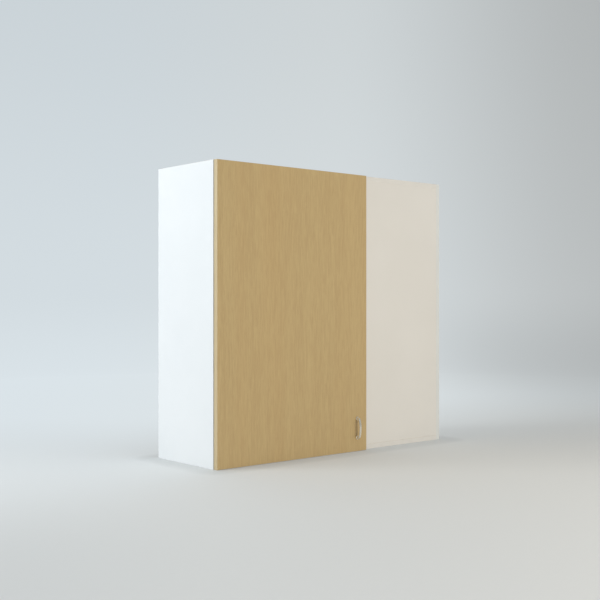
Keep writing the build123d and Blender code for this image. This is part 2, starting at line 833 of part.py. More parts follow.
with BuildPart() as arm_pins:
    with Locations((outer_arm_pin.X, outer_arm_pin.Y, 0)):
        Cylinder(pivot_radius, 2 * outer_link_outer_level)
    with Locations((inner_arm_pin.X, inner_arm_pin.Y, 0)):
        Cylinder(pivot_radius, 2 * arm_outer_level)

# mounting plate: a cross on the side panel with a rail inside the arm
rail_level = arm_inner_level - rail_play
with BuildPart() as mounting_plate:
    with BuildSketch(Plane.YZ.offset(left_face_x)):
        with Locations((front_row_y, 0)):
            RectangleRounded(plate_wing_width, 2 * plate_half_height, wing_radius)
        with Locations((front_y + (plate_start + plate_end) / 2, 0)):
            Rectangle(plate_end - plate_start, 2 * rail_level)
    extrude(amount=plate_thickness)
    with BuildSketch(Plane.YZ.offset(left_face_x + plate_thickness)):
        with Locations((front_y + (plate_start + plate_end) / 2, 0)):
            Rectangle(plate_end - plate_start, 2 * rail_level)
    extrude(amount=rail_height - plate_thickness)
    with BuildSketch(Plane.YZ.offset(left_face_x)):
        with Locations((front_row_y, -hole_pitch / 2), (front_row_y, hole_pitch / 2)):
            Circle(plate_screw_radius + through_play)
    extrude(amount=plate_thickness, mode=Mode.SUBTRACT)
    with BuildSketch(Plane.YZ.offset(left_face_x + rail_height)):
        with Locations(
            (front_y + side_adjuster_set, 0),
            (front_y + depth_adjuster_set, 0),
        ):
            Circle(adjuster_radius + screw_play)
    extrude(amount=-adjuster_depth, mode=Mode.SUBTRACT)

hinge_parts = {
    "cup": cup.part,
    "outer_link": outer_link.part,
    "inner_link": inner_link.part,
    "arm": arm.part,
    "mounting_plate": mounting_plate.part,
}
for level_name, z in hinge_levels.items():
    for piece_name, piece in hinge_parts.items():
        save(copies(piece, [(0, 0, z)]), f"{level_name}_hinge_{piece_name}")

hinge_places = [(0, 0, z) for z in hinge_levels.values()]
save(copies(cup_pins.part, hinge_places), "hinge_cup_pins")
save(copies(arm_pins.part, hinge_places), "hinge_arm_pins")

# screws of the hinges
cup_screw_places = []
for x, z in cup_screw_points:
    cup_screw_places.append(Plane((x, door_back_y + wing_thickness, z), z_dir=(0, 1, 0)))
with BuildPart() as cup_screw:
    Cylinder(cup_screw_head_radius, cup_screw_head, align=above)
    round_top(cup_screw, small_head_dome)
    cross_recess(cup_screw_head, cup_screw_head_radius)
    Cylinder(cup_screw_radius, wing_thickness + cup_screw_depth - dowel_end_play, align=below)
save(copies(cup_screw.part, cup_screw_places), "hinge_cup_screws")

plate_screw_places = []
for y, z in plate_holes:
    plate_screw_places.append(Plane((left_face_x + plate_thickness, y, z), z_dir=(1, 0, 0)))
with BuildPart() as plate_screw:
    Cylinder(plate_screw_head_radius, plate_screw_head, align=above)
    round_top(plate_screw, small_head_dome)
    cross_recess(plate_screw_head, plate_screw_head_radius)
    Cylinder(plate_screw_radius - pin_play, plate_thickness + thread_depth - dowel_end_play, align=below)
save(copies(plate_screw.part, plate_screw_places), "hinge_plate_screws")

adjuster_places = []
for z in hinge_levels.values():
    for set_back in (side_adjuster_set, depth_adjuster_set):
        head_point = (left_face_x + arm_high, front_y + set_back, z)
        adjuster_places.append(Plane(head_point, z_dir=(1, 0, 0)))
with BuildPart() as adjuster:
    Cylinder(adjuster_head_radius, adjuster_head, align=above)
    Cylinder(adjuster_radius, arm_high - rail_height + adjuster_depth - dowel_end_play, align=below)
    with Locations((0, 0, adjuster_head)):
        Box(2 * adjuster_radius, cam_slot / 2, adjuster_head / 2, align=below, mode=Mode.SUBTRACT)
        Box(cam_slot / 2, 2 * adjuster_radius, adjuster_head / 2, align=below, mode=Mode.SUBTRACT)
save(copies(adjuster.part, adjuster_places), "hinge_adjusting_screws")

# ---------------------------------------------------------------- hanger of the left side
# Its pieces are drawn at the left side, and mirrored for the right one.
housing_x = left_face_x + hanger_width
hook_x = left_face_x + hook_offset
hook_top_z = hanger_top_z - hook_arm_drop
hook_bottom_z = hanger_bottom_z + hook_arm_drop
hook_arm_z = hook_top_z - hook_arm_height
hook_rear_y = back_y - hook_wall_gap
lip_front_y = hook_rear_y - hook_sheet
hook_front_y = hanger_front_y + hook_arm_drop
hook_back_y = hanger_back_y - hook_play
hook_screw_points = []
for rise in (-hook_screw_spread / 2, hook_screw_spread / 2):
    hook_screw_points.append((hook_x + hook_sheet / 2, hanger_middle_z + rise))

# housing: a base on the side panel, with flanges above, below and in front
with BuildPart() as hanger_housing:
    block(left_face_x, housing_x, hanger_front_y, hanger_back_y, hanger_bottom_z, hanger_top_z)
    block(
        left_face_x + hanger_sheet,
        housing_x,
        hanger_front_y + hanger_sheet,
        hanger_back_y,
        hanger_bottom_z + hanger_sheet,
        hanger_top_z - hanger_sheet,
        mode=Mode.SUBTRACT,
    )
    with BuildSketch(Plane.YZ.offset(left_face_x)):
        with Locations(*hanger_screw_points):
            Circle(hanger_screw_radius + through_play)
    extrude(amount=hanger_sheet, mode=Mode.SUBTRACT)
    with BuildSketch(Plane.XZ.offset(-hanger_front_y)):
        with Locations(*hook_screw_points):
            Circle(hook_screw_radius + screw_play)
    extrude(amount=-hanger_sheet, mode=Mode.SUBTRACT)

with BuildPart() as hanger_hook:
    with BuildSketch(Plane.YZ.offset(hook_x)):
        with BuildLine():
            Polyline(
                (hook_front_y, hook_bottom_z),
                (hook_back_y, hook_bottom_z),
                (hook_back_y, hook_arm_z),
                (lip_front_y, hook_arm_z),
                (lip_front_y, hook_arm_z - hook_lip_drop),
                (hook_rear_y, hook_arm_z - hook_lip_drop),
                (hook_rear_y, hook_top_z),
                (hook_front_y, hook_top_z),
                close=True,
            )
        make_face()
    extrude(amount=hook_sheet)

# wall plate: its foot lies on the wall, and the hook hangs on its lip
lip_rear_y = back_y - plate_stand_off
lip_top_z = hook_arm_z - hook_play
lip_bottom_z = lip_top_z - plate_lip
foot_top_z = lip_bottom_z - plate_joggle
foot_bottom_z = foot_top_z - plate_foot
wall_plate_left_x = left_face_x + plate_side_gap
wall_plate_middle_x = wall_plate_left_x + plate_width / 2
with BuildPart() as wall_plate:
    with BuildSketch(Plane.YZ.offset(wall_plate_left_x)):
        with BuildLine():
            Polyline(
                (back_y, foot_bottom_z),
                (back_y, foot_top_z),
                (lip_rear_y, lip_bottom_z),
                (lip_rear_y, lip_top_z),
                (lip_rear_y - plate_sheet, lip_top_z),
                (lip_rear_y - plate_sheet, lip_bottom_z - plate_sheet),
                (back_y - plate_sheet, foot_top_z - plate_sheet),
                (back_y - plate_sheet, foot_bottom_z),
                close=True,
            )
        make_face()
    extrude(amount=plate_width)
    with BuildSketch(Plane.XZ.offset(-back_y)):
        with Locations(
            (wall_plate_middle_x - plate_hole_spacing / 2, foot_bottom_z + plate_hole_rise),
            (wall_plate_middle_x + plate_hole_spacing / 2, foot_bottom_z + plate_hole_rise),
        ):
            Circle(plate_hole_radius)
    extrude(amount=plate_sheet, mode=Mode.SUBTRACT)

# cover: a box over the housing, with two holes for the screwdriver
cover_front_y = hanger_front_y - cover_front_play - cover_wall
cover_x = housing_x + cover_play + cover_wall
with BuildPart() as hanger_cover:
    block(
        left_face_x,
        cover_x,
        cover_front_y,
        hanger_back_y,
        hanger_bottom_z - cover_play - cover_wall,
        hanger_top_z + cover_play + cover_wall,
    )
    outer_face = hanger_cover.faces().sort_by(Axis.X)[-1]
    front_face = hanger_cover.faces().sort_by(Axis.Y)[0]
    moulded_edges = outer_face.edges().filter_by(Axis.Y) + front_face.edges().filter_by(Axis.X)
    moulded_edges.append(front_face.edges().filter_by(Axis.Z).sort_by(Axis.X)[-1])
    fillet(moulded_edges, cover_edge)
    block(
        left_face_x,
        cover_x - cover_wall,
        cover_front_y + cover_wall,
        hanger_back_y,
        hanger_bottom_z - cover_play,
        hanger_top_z + cover_play,
        mode=Mode.SUBTRACT,
    )
    with BuildSketch(Plane.XZ.offset(-cover_front_y)):
        with Locations(*hook_screw_points):
            Circle(cover_hole_radius)
    extrude(amount=-cover_wall, mode=Mode.SUBTRACT)

hanger_screw_places = []
for y, z in hanger_screw_points:
    hanger_screw_places.append(Plane((left_face_x + hanger_sheet, y, z), z_dir=(1, 0, 0)))
with BuildPart() as hanger_screw:
    Cylinder(hanger_screw_head_radius, hanger_screw_head, align=above)
    round_top(hanger_screw, small_head_dome)
    cross_recess(hanger_screw_head, hanger_screw_head_radius)
    Cylinder(hanger_screw_radius, hanger_sheet + hanger_screw_depth - dowel_end_play, align=below)
hanger_screws = copies(hanger_screw.part, hanger_screw_places)

hook_screw_places = []
for x, z in hook_screw_points:
    hook_screw_places.append(Plane((x, hanger_front_y, z), z_dir=(0, -1, 0)))
with BuildPart() as hook_screw:
    Cylinder(hook_screw_head_radius, hook_screw_head, align=above)
    round_top(hook_screw, hook_screw_edge)
    cross_recess(hook_screw_head, hook_screw_head_radius)
    Cylinder(hook_screw_radius, hook_front_y - hanger_front_y - hook_play, align=below)
hook_screws = copies(hook_screw.part, hook_screw_places)

for name, piece in (
    ("hanger_housing", hanger_housing),
    ("hanger_hook", hanger_hook),
    ("wall_plate", wall_plate),
    ("hanger_cover", hanger_cover),
):
    save(copies(piece.part, [(0, 0, 0)]), f"left_{name}")
    with BuildPart() as mirrored:
        mirror(piece.part, about=Plane.YZ)
    save(mirrored.part, f"right_{name}")

for name, piece in (
    ("hanger_fixing_screws", hanger_screws),
    ("hanger_adjusting_screws", hook_screws),
):
    with BuildPart() as both_sides:
        add(piece)
        mirror(about=Plane.YZ)
    save(both_sides.part, name)
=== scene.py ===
import math

import bmesh
import bpy
from mathutils import Matrix, Vector
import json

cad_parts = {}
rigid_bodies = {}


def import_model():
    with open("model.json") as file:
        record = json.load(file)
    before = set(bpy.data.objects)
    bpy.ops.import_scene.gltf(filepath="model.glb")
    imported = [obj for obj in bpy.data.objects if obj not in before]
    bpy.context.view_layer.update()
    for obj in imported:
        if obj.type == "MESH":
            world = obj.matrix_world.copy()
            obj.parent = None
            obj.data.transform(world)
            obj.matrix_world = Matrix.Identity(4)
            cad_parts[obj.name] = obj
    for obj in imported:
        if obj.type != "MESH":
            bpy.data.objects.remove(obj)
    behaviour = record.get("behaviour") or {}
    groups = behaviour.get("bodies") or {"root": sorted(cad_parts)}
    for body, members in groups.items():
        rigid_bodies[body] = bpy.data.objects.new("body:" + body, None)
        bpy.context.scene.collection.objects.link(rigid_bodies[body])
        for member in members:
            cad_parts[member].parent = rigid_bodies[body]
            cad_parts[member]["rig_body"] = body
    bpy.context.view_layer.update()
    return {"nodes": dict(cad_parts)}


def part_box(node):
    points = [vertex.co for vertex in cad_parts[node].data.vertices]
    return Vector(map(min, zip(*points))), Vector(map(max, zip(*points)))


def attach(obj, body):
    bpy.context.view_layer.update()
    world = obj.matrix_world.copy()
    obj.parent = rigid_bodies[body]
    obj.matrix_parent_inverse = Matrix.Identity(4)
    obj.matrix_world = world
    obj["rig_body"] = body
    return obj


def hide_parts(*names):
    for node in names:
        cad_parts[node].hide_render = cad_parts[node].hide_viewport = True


# A corner wall cabinet in metres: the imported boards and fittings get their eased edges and
# their finishes, the handle its domed feet, and the whole a studio, lamps and a camera.

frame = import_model()
nodes = frame["nodes"]

mm = 0.001


# ---------------------------------------------------------------- finishes
class Wire:
    """A value in a finish, so that its shading is written as sums."""

    def __init__(self, finish, socket):
        self.finish = finish
        self.socket = socket

    def maths(self, operation, *values):
        settings = {"operation": operation}
        return self.finish.node("ShaderNodeMath", settings, dict(enumerate(values)))

    def __add__(self, other):
        return self.maths("ADD", self, other)

    __radd__ = __add__

    def __sub__(self, other):
        return self.maths("SUBTRACT", self, other)

    def __rsub__(self, other):
        return self.maths("SUBTRACT", other, self)

    def __mul__(self, other):
        return self.maths("MULTIPLY", self, other)

    __rmul__ = __mul__

    def __truediv__(self, other):
        return self.maths("DIVIDE", self, other)

    def __rtruediv__(self, other):
        return self.maths("DIVIDE", other, self)

    def __abs__(self):
        return self.maths("ABSOLUTE", self)

    def most(self, other):
        return self.maths("MAXIMUM", self, other)

    def rise(self, start, end):
        """0 below start, 1 above end, with a soft step between them."""
        settings = {"interpolation_type": "SMOOTHSTEP"}
        values = {"Value": self, "From Min": start, "From Max": end}
        return self.finish.node("ShaderNodeMapRange", settings, values)


class Finish:
    """A finish in the making, on the coordinates of the piece's own object."""

    def __init__(self, name):
        self.material = bpy.data.materials.new(name)
        self.material.use_nodes = True
        self.tree = self.material.node_tree
        self.shader = self.tree.nodes["Principled BSDF"]
        self.place = self.node("ShaderNodeTexCoord", {}, {}, "Object")
        self.x, self.y, self.z = (self.part_of(self.place, axis) for axis in "XYZ")

    def node(self, kind, settings, values, out=0):
        """A node of one kind: its settings first, then what goes into its sockets."""
        made = self.tree.nodes.new(kind)
        for key, value in settings.items():
            if key == "stops":
                ramp = made.color_ramp
                while len(ramp.elements) < len(value):
                    ramp.elements.new(0.5)
                for element, (position, colour) in zip(ramp.elements, value):
                    element.position = position
                    element.color = colour
            else:
                setattr(made, key, value)
        for key, value in values.items():
            self.put(made.inputs[key], value)
        return Wire(self, made.outputs[out])

    def put(self, socket, value):
        if isinstance(value, Wire):
            self.tree.links.new(value.socket, socket)
        else:
            socket.default_value = value

    def set(self, **values):
        """Values on the shader's own sockets: Base_Color is its Base Color."""
        for key, value in values.items():
            self.put(self.shader.inputs[key.replace("_", " ")], value)
        return self

    def noise(self, where, scale, detail=2.0, rough=0.5, twist=0.0):
        values = {
            "Vector": where,
            "Scale": scale,
            "Detail": detail,
            "Roughness": rough,
            "Distortion": twist,
        }
        return self.node("ShaderNodeTexNoise", {}, values)

    def cells(self, where, scale, out="Distance"):
        return self.node("ShaderNodeTexVoronoi", {}, {"Vector": where, "Scale": scale}, out)

    def stretched(self, across, up, along):
        """The object's coordinates with each axis scaled by its own amount."""
        values = {"Vector": self.place, "Scale": (across, up, along)}
        return self.node("ShaderNodeMapping", {}, values)

    def part_of(self, vector, axis):
        return self.node("ShaderNodeSeparateXYZ", {}, {"Vector": vector}, axis)

    def joined(self, x, y, z):
        return self.node("ShaderNodeCombineXYZ", {}, {"X": x, "Y": y, "Z": z})

    def mix(self, amount, first, second, blend="MIX"):
        """Two colours, with more of the second as the amount rises."""
        settings = {"data_type": "RGBA", "blend_type": blend}
        return self.node("ShaderNodeMix", settings, {0: amount, 6: first, 7: second}, 2)

    def tint(self, colour, amount):
        """A colour made lighter or darker by a varying amount about 1."""
        settings = {"operation": "SCALE"}
        return self.node("ShaderNodeVectorMath", settings, {0: colour, "Scale": amount})

    def bump(self, height, depth, strength=1.0):
        values = {"Height": height, "Distance": depth, "Strength": strength}
        return self.node("ShaderNodeBump", {}, values)


def rgb(red, green, blue):
    return (red, green, blue, 1.0)


def melamine(name, pale, deep, rough):
    """Paper-faced board: an even colour with a faint cloud and a fine pearl grain."""
    made = Finish(name)
    cloud = made.noise(made.place, 5.0, 3.0, 0.5)
    grain = made.noise(made.place, 900.0, 2.0, 0.6)
    smear = made.noise(made.place, 14.0, 4.0, 0.6)
    colour = made.mix((cloud * 0.8 + grain * 0.2).rise(0.3, 0.7), deep, pale)
    made.set(
        Base_Color=colour,
        Roughness=rough + (smear - 0.5) * 0.10 + (grain - 0.5) * 0.06,
        Normal=made.bump(grain, 0.00004, 0.35),
    )
    return made.material


def chipboard(name):
    """The pressed-chip core that shows on cut edges and inside holes."""
    made = Finish(name)
    coarse = made.cells(made.stretched(330.0, 330.0, 260.0), 1.0, "Color")
    fine = made.cells(made.stretched(900.0, 900.0, 760.0), 1.0, "Color")
    lump = made.part_of(coarse, "X")
    crumb = made.part_of(fine, "Y")
    dust = made.noise(made.place, 1500.0, 2.0, 0.6)
    shade = lump * 0.5 + crumb * 0.35 + dust * 0.3
    stops = [
        (0.0, rgb(0.16, 0.095, 0.045)),
        (0.35, rgb(0.33, 0.215, 0.115)),
        (0.65, rgb(0.50, 0.35, 0.20)),
        (1.0, rgb(0.66, 0.50, 0.31)),
    ]
    colour = made.node("ShaderNodeValToRGB", {"stops": stops}, {0: shade})
    made.set(
        Base_Color=colour,
        Roughness=0.9 - dust * 0.1,
        Normal=made.bump(shade, 0.0004, 0.6),
    )
    return made.material


def fibreboard(name, pale, deep):
    """Hard brown fibreboard: fine matted fibres in every direction."""
    made = Finish(name)
    mat = made.noise(made.place, 420.0, 5.0, 0.7, 0.8)
    cloud = made.noise(made.place, 9.0, 3.0, 0.5)
    weave = made.noise(made.stretched(60.0, 60.0, 900.0), 1.0, 3.0, 0.6)
    shade = mat * 0.5 + cloud * 0.3 + weave * 0.2
    made.set(
        Base_Color=made.mix(shade.rise(0.25, 0.75), deep, pale),
        Roughness=0.72 + (mat - 0.5) * 0.2,
        Normal=made.bump(mat, 0.0002, 0.4),
    )
    return made.material


def oak(name, pale, deep, turned=False):
    """Golden oak foil with straight upright grain. Turned lays the grain along the X axis."""
    made = Finish(name)
    along, across = (made.x, made.z) if turned else (made.z, made.x)
    drift = made.noise(made.joined(across * 3.0, made.y * 3.0, along * 1.3), 1.0, 2.0, 0.5)
    line = across + (drift - 0.5) * 0.018

    def streak(width, length, detail=2.0):
        where = made.joined(line / width, made.y / width, along / length)
        return made.noise(where, 1.0, detail, 0.55)

    broad = streak(0.055, 1.6, 1.0)
    ribbon = streak(0.014, 0.40)
    grain = streak(0.0034, 0.058, 2.0)
    fibre = streak(0.0013, 0.030, 2.0)
    pore = streak(0.0008, 0.018, 2.0)
    pores = pore.rise(0.58, 0.76) * (ribbon * 0.8 + 0.35)
    shade = broad * 0.10 + ribbon * 0.18 + grain * 0.42 + fibre * 0.30
    colour = made.mix(shade.rise(0.36, 0.64), deep, pale)
    warm = made.noise(made.joined(across * 9.0, made.y, along * 0.6), 1.0, 1.0, 0.5)
    colour = made.mix(warm.rise(0.35, 0.75) * 0.22, colour, OAK_WARM)
    colour = made.mix(pores * 0.42, colour, OAK_PORE)
    made.set(
        Base_Color=colour,
        Roughness=0.46 + pores * 0.16 + (grain - 0.5) * 0.10,
        Normal=made.bump(grain * 0.35 - pores, 0.00012, 0.5),
    )
    return made.material


def metal(name, colour, worn, rough, lines=(0.0, 0.0, 0.0), line_share=0.0, pitting=0.3):
    """Plated or bare metal with smears, fine pits and, where given, brushed lines."""
    made = Finish(name)
    smear = made.noise(made.place, 45.0, 4.0, 0.6)
    pits = made.noise(made.place, 2600.0, 2.0, 0.5)
    brushed = made.noise(made.stretched(*lines), 1.0, 3.0, 0.6) if line_share else pits
    rubbed = smear.rise(0.45, 0.75)
    made.set(
        Base_Color=made.mix(rubbed * 0.6 + (brushed - 0.5) * 0.3, colour, worn),
        Metallic=1.0,
        Roughness=rough + (smear - 0.5) * 0.16 + (brushed - 0.5) * (0.12 + line_share * 0.2),
        Normal=made.bump(pits * pitting + brushed * line_share, 0.00003, 0.5),
    )
    return made.material


def galvanised(name):
    """Zinc-dipped sheet: large faint crystals that take the light differently."""
    made = Finish(name)
    crystal = made.cells(made.place, 170.0, "Color")
    tone = made.part_of(crystal, "X")
    smear = made.noise(made.place, 60.0, 4.0, 0.6)
    colour = made.mix(tone * 0.7 + smear * 0.3, rgb(0.42, 0.44, 0.46), rgb(0.62, 0.64, 0.65))
    made.set(
        Base_Color=colour,
        Metallic=1.0,
        Roughness=0.34 + tone * 0.14 + (smear - 0.5) * 0.15,
        Normal=made.bump(smear, 0.00006, 0.4),
    )
    return made.material


def cast_zinc(name):
    """Grey die-cast metal with a slightly grainy skin."""
    made = Finish(name)
    skin = made.noise(made.place, 1400.0, 3.0, 0.6)
    cloud = made.noise(made.place, 120.0, 3.0, 0.6)
    colour = made.mix(cloud.rise(0.35, 0.7), rgb(0.36, 0.365, 0.37), rgb(0.55, 0.555, 0.56))
    made.set(
        Base_Color=colour,
        Metallic=1.0,
        Roughness=0.48 + (skin - 0.5) * 0.2,
        Normal=made.bump(skin, 0.00008, 0.6),
    )
    return made.material


def plastic(name, pale, deep, rough):
    """Moulded plastic with a fine spark-worn skin and a faint flow cloud."""
    made = Finish(name)
    skin = made.noise(made.place, 2100.0, 2.0, 0.6)
    flow = made.noise(made.stretched(30.0, 30.0, 12.0), 1.0, 3.0, 0.5)
    made.set(
        Base_Color=made.mix(flow.rise(0.3, 0.7), deep, pale),
        Roughness=rough + (skin - 0.5) * 0.14,
        Normal=made.bump(skin, 0.00004, 0.5),
    )
    return made.material


def rubber(name):
    """Soft clear bumper, slightly milky."""
    made = Finish(name)
    haze = made.noise(made.place, 400.0, 3.0, 0.5)
    made.set(
        Base_Color=made.mix(haze.rise(0.3, 0.7), rgb(0.62, 0.63, 0.62), rgb(0.78, 0.79, 0.78)),
        Roughness=0.32 + (haze - 0.5) * 0.1,
        Transmission_Weight=0.45,
        IOR=1.46,
        Normal=made.bump(haze, 0.00005, 0.3),
    )
    return made.material


def beech(name):
    """Turned beech: short flecks on a faint long grain."""
    made = Finish(name)
    fleck = made.noise(made.place, 700.0, 3.0, 0.6)
    ring = made.noise(made.stretched(260.0, 260.0, 40.0), 1.0, 3.0, 0.6)
    shade = fleck * 0.4 + ring * 0.6
    made.set(
        Base_Color=made.mix(shade.rise(0.3, 0.7), rgb(0.47, 0.30, 0.17), rgb(0.70, 0.52, 0.34)),
        Roughness=0.62 + (fleck - 0.5) * 0.2,
        Normal=made.bump(shade, 0.0001, 0.5),
    )
    return made.material


OAK_PALE = rgb(0.524, 0.382, 0.179)
OAK_DEEP = rgb(0.455, 0.316, 0.142)
OAK_WARM = rgb(0.512, 0.337, 0.145)
OAK_PORE = rgb(0.279, 0.173, 0.074)
BAND_PALE = rgb(0.592, 0.472, 0.276)
BAND_DEEP = rgb(0.523, 0.402, 0.228)

white_face = melamine("white_melamine", rgb(0.800, 0.812, 0.815), rgb(0.780, 0.795, 0.800), 0.40)
cream_face = melamine("cream_melamine", rgb(0.729, 0.691, 0.623), rgb(0.712, 0.673, 0.603), 0.42)
side_band = plastic("side_band", rgb(0.700, 0.697, 0.650), rgb(0.686, 0.680, 0.633), 0.38)
cream_band = plastic("cream_band", rgb(0.718, 0.681, 0.616), rgb(0.703, 0.666, 0.598), 0.40)
core = chipboard("chipboard_core")
brown_fibre = fibreboard("brown_fibreboard", rgb(0.40, 0.265, 0.155), rgb(0.26, 0.160, 0.088))
oak_face = oak("oak_foil", OAK_PALE, OAK_DEEP)
oak_band = oak("oak_band", BAND_PALE, BAND_DEEP)
oak_band_turned = oak("oak_band_turned", BAND_PALE, BAND_DEEP, True)
handle_finish = metal(
    "satin_nickel", rgb(0.90, 0.85, 0.74), rgb(0.95, 0.91, 0.82), 0.21, (40.0, 40.0, 1800.0), 0.2
)
hinge_finish = metal("nickel_plate", rgb(0.60, 0.58, 0.54), rgb(0.72, 0.70, 0.66), 0.24)
pivot_finish = metal("pivot_steel", rgb(0.50, 0.50, 0.49), rgb(0.66, 0.66, 0.65), 0.30)
screw_finish = metal("bright_zinc_plate", rgb(0.58, 0.60, 0.62), rgb(0.74, 0.75, 0.75), 0.28)
pin_finish = metal("pin_nickel", rgb(0.55, 0.54, 0.51), rgb(0.70, 0.69, 0.66), 0.22)
hanger_finish = galvanised("galvanised_sheet")
cam_finish = cast_zinc("cast_zinc")
cover_finish = plastic("white_plastic", rgb(0.800, 0.805, 0.800), rgb(0.770, 0.778, 0.775), 0.42)
bumper_finish = rubber("clear_rubber")
dowel_finish = beech("beech")


# ---------------------------------------------------------------- shaping
merge_distance = 0.002 * mm  # vertices this near are one vertex
flat_angle = math.radians(0.6)  # faces that meet at less are one flat face
crease_angle = math.radians(40.0)  # edges that turn more keep a hard line in the shading
sharp_angle = math.radians(50.0)  # edges that turn more are eased
on_plane = 0.01 * mm  # an edge this near a plane lies on it
face_on_plane = 0.05 * mm  # and a face's middle this near


def copied(node):
    """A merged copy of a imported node's mesh, with its flat faces whole again."""
    bm = bmesh.new()
    bm.from_mesh(nodes[node].data)
    bmesh.ops.remove_doubles(bm, verts=bm.verts, dist=merge_distance)
    bmesh.ops.dissolve_limit(bm, angle_limit=flat_angle, verts=bm.verts[:], edges=bm.edges[:])
    return bm


def rounded(bm, edges, radius, steps=2):
    """Ease these edges: one step makes a flat arris, two make it round."""
    bmesh.ops.bevel(
        bm,
        geom=list(edges),
        offset=radius,
        offset_type="OFFSET",
        segments=steps,
        profile=0.5,
        affect="EDGES",
        material=-1,
        clamp_overlap=True,
    )


def sharp_edges(bm):
    return [e for e in bm.edges if e.is_manifold and e.calc_face_angle(0.0) > sharp_angle]


def outline_edges(bm, low, high):
    """The edges that lie on two of the box's outer faces at once."""
    found = []
    for edge in bm.edges:
        hits = 0
        for axis in range(3):
            for limit in (low[axis], high[axis]):
                if all(abs(v.co[axis] - limit) < on_plane for v in edge.verts):
                    hits += 1
        if hits == 2:
            found.append(edge)
    return found


def made_piece(name, bm, body, slot, *finishes, instead_of=()):
    """The finished piece of a mesh, on its body and in place of the nodes it was made from."""
    for face in bm.faces:
        face.smooth = True
    for edge in bm.edges:
        edge.smooth = edge.is_manifold and edge.calc_face_angle(0.0) < crease_angle
    mesh = bpy.data.meshes.new(name)
    bm.to_mesh(mesh)
    bm.free()
    piece = bpy.data.objects.new(name, mesh)
    bpy.context.scene.collection.objects.link(piece)
    for finish in finishes:
        mesh.materials.append(finish)
    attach(piece, body)
    if instead_of:
        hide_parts(*instead_of)
    weighted = piece.modifiers.new("even_shading", "WEIGHTED_NORMAL")
    weighted.keep_sharp = True
    return piece


def body_of(node):
    return nodes[node]["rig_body"]


def faced_board(node, axis, slot, front, rear, inside, arris=0.25 * mm):
    """A board with its paper faces, its bare core on cut edges, and eased arrises."""
    low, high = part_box(node)
    bm = copied(node)
    for face in bm.faces:
        middle = face.calc_center_median()[axis]
        faces_out = abs(face.normal[axis]) > 0.9
        face.material_index = 2
        if faces_out and abs(middle - low[axis]) < face_on_plane:
            face.material_index = 0
        if faces_out and abs(middle - high[axis]) < face_on_plane:
            face.material_index = 1
    rounded(bm, outline_edges(bm, low, high), arris, 1)
    return made_piece(
        node + "_board", bm, body_of(node), slot, front, rear, inside, instead_of=[node]
    )


def pressed(node, slot, finish, radius, suffix="_pressed"):
    """A stamped, cast or moulded piece with its sharp edges eased."""
    bm = copied(node)
    if radius:
        rounded(bm, sharp_edges(bm), radius)
    return made_piece(node + suffix, bm, body_of(node), slot, finish, instead_of=[node])


# ---------------------------------------------------------------- boards and bands
flat_boards = ("top_panel", "bottom_panel", "lower_shelf", "upper_shelf")
for board in ("left_side", "right_side"):
    faced_board(board, 0, "carcass_board", white_face, white_face, core)
for board in flat_boards:
    faced_board(board, 2, "carcass_board", white_face, white_face, core)
faced_board("blind_panel", 1, "blind_board", cream_face, cream_face, core)
faced_board("back_panel", 1, "back_board", white_face, brown_fibre, brown_fibre, 0.1 * mm)
faced_board("door_panel", 1, "door_board", oak_face, oak_face, core, 0.05 * mm)
for board in ("left_side", "right_side"):
    pressed(board + "_edge_band", "carcass_band", side_band, 0, suffix="_strip")
for board in (*flat_boards, "blind_panel"):
    pressed(board + "_edge_band", "carcass_band", cream_band, 0, suffix="_strip")
for edge in ("left", "right"):
    pressed(f"door_{edge}_edge_band", "door_band", oak_band, 0, suffix="_strip")
for edge in ("bottom", "top"):
    pressed(f"door_{edge}_edge_band", "door_band", oak_band_turned, 0, suffix="_strip")

# ---------------------------------------------------------------- fittings
hinge_parts = {
    "cup": 0.35 * mm,
    "arm": 0.3 * mm,
    "mounting_plate": 0.4 * mm,
    "outer_link": 0.2 * mm,
    "inner_link": 0.2 * mm,
}
for level in ("lower", "middle", "upper"):
    for part, radius in hinge_parts.items():
        pressed(f"{level}_hinge_{part}", "hinge_steel", hinge_finish, radius)
pressed("hinge_arm_pins", "pivot_steel", pivot_finish, 0.2 * mm)
pressed("hinge_cup_pins", "pivot_steel", pivot_finish, 0.2 * mm)
pressed("hinge_adjusting_screws", "screw_steel", screw_finish, 0.15 * mm)
for screws in ("hinge_cup", "hinge_plate", "handle", "hanger_fixing", "hanger_adjusting"):
    pressed(screws + "_screws", "screw_steel", screw_finish, 0.1 * mm)
for shelf in ("lower_shelf", "upper_shelf"):
    pressed(shelf + "_pins", "pin_steel", pin_finish, 0.25 * mm)
pressed("cam_housings", "cam_metal", cam_finish, 0.2 * mm)
pressed("cam_bolts", "screw_steel", screw_finish, 0.3 * mm)
pressed("cam_caps", "white_plastic", cover_finish, 0)
pressed("wooden_dowels", "dowel_wood", dowel_finish, 0.15 * mm)
pressed("door_bumpers", "bumper_rubber", bumper_finish, 0)
for side in ("left", "right"):
    pressed(side + "_hanger_housing", "hanger_steel", hanger_finish, 0.3 * mm)
    pressed(side + "_hanger_hook", "hanger_steel", hanger_finish, 0.4 * mm)
    pressed(side + "_wall_plate", "hanger_steel", hanger_finish, 0.4 * mm)
    pressed(side + "_hanger_cover", "white_plastic", cover_finish, 0.15 * mm)


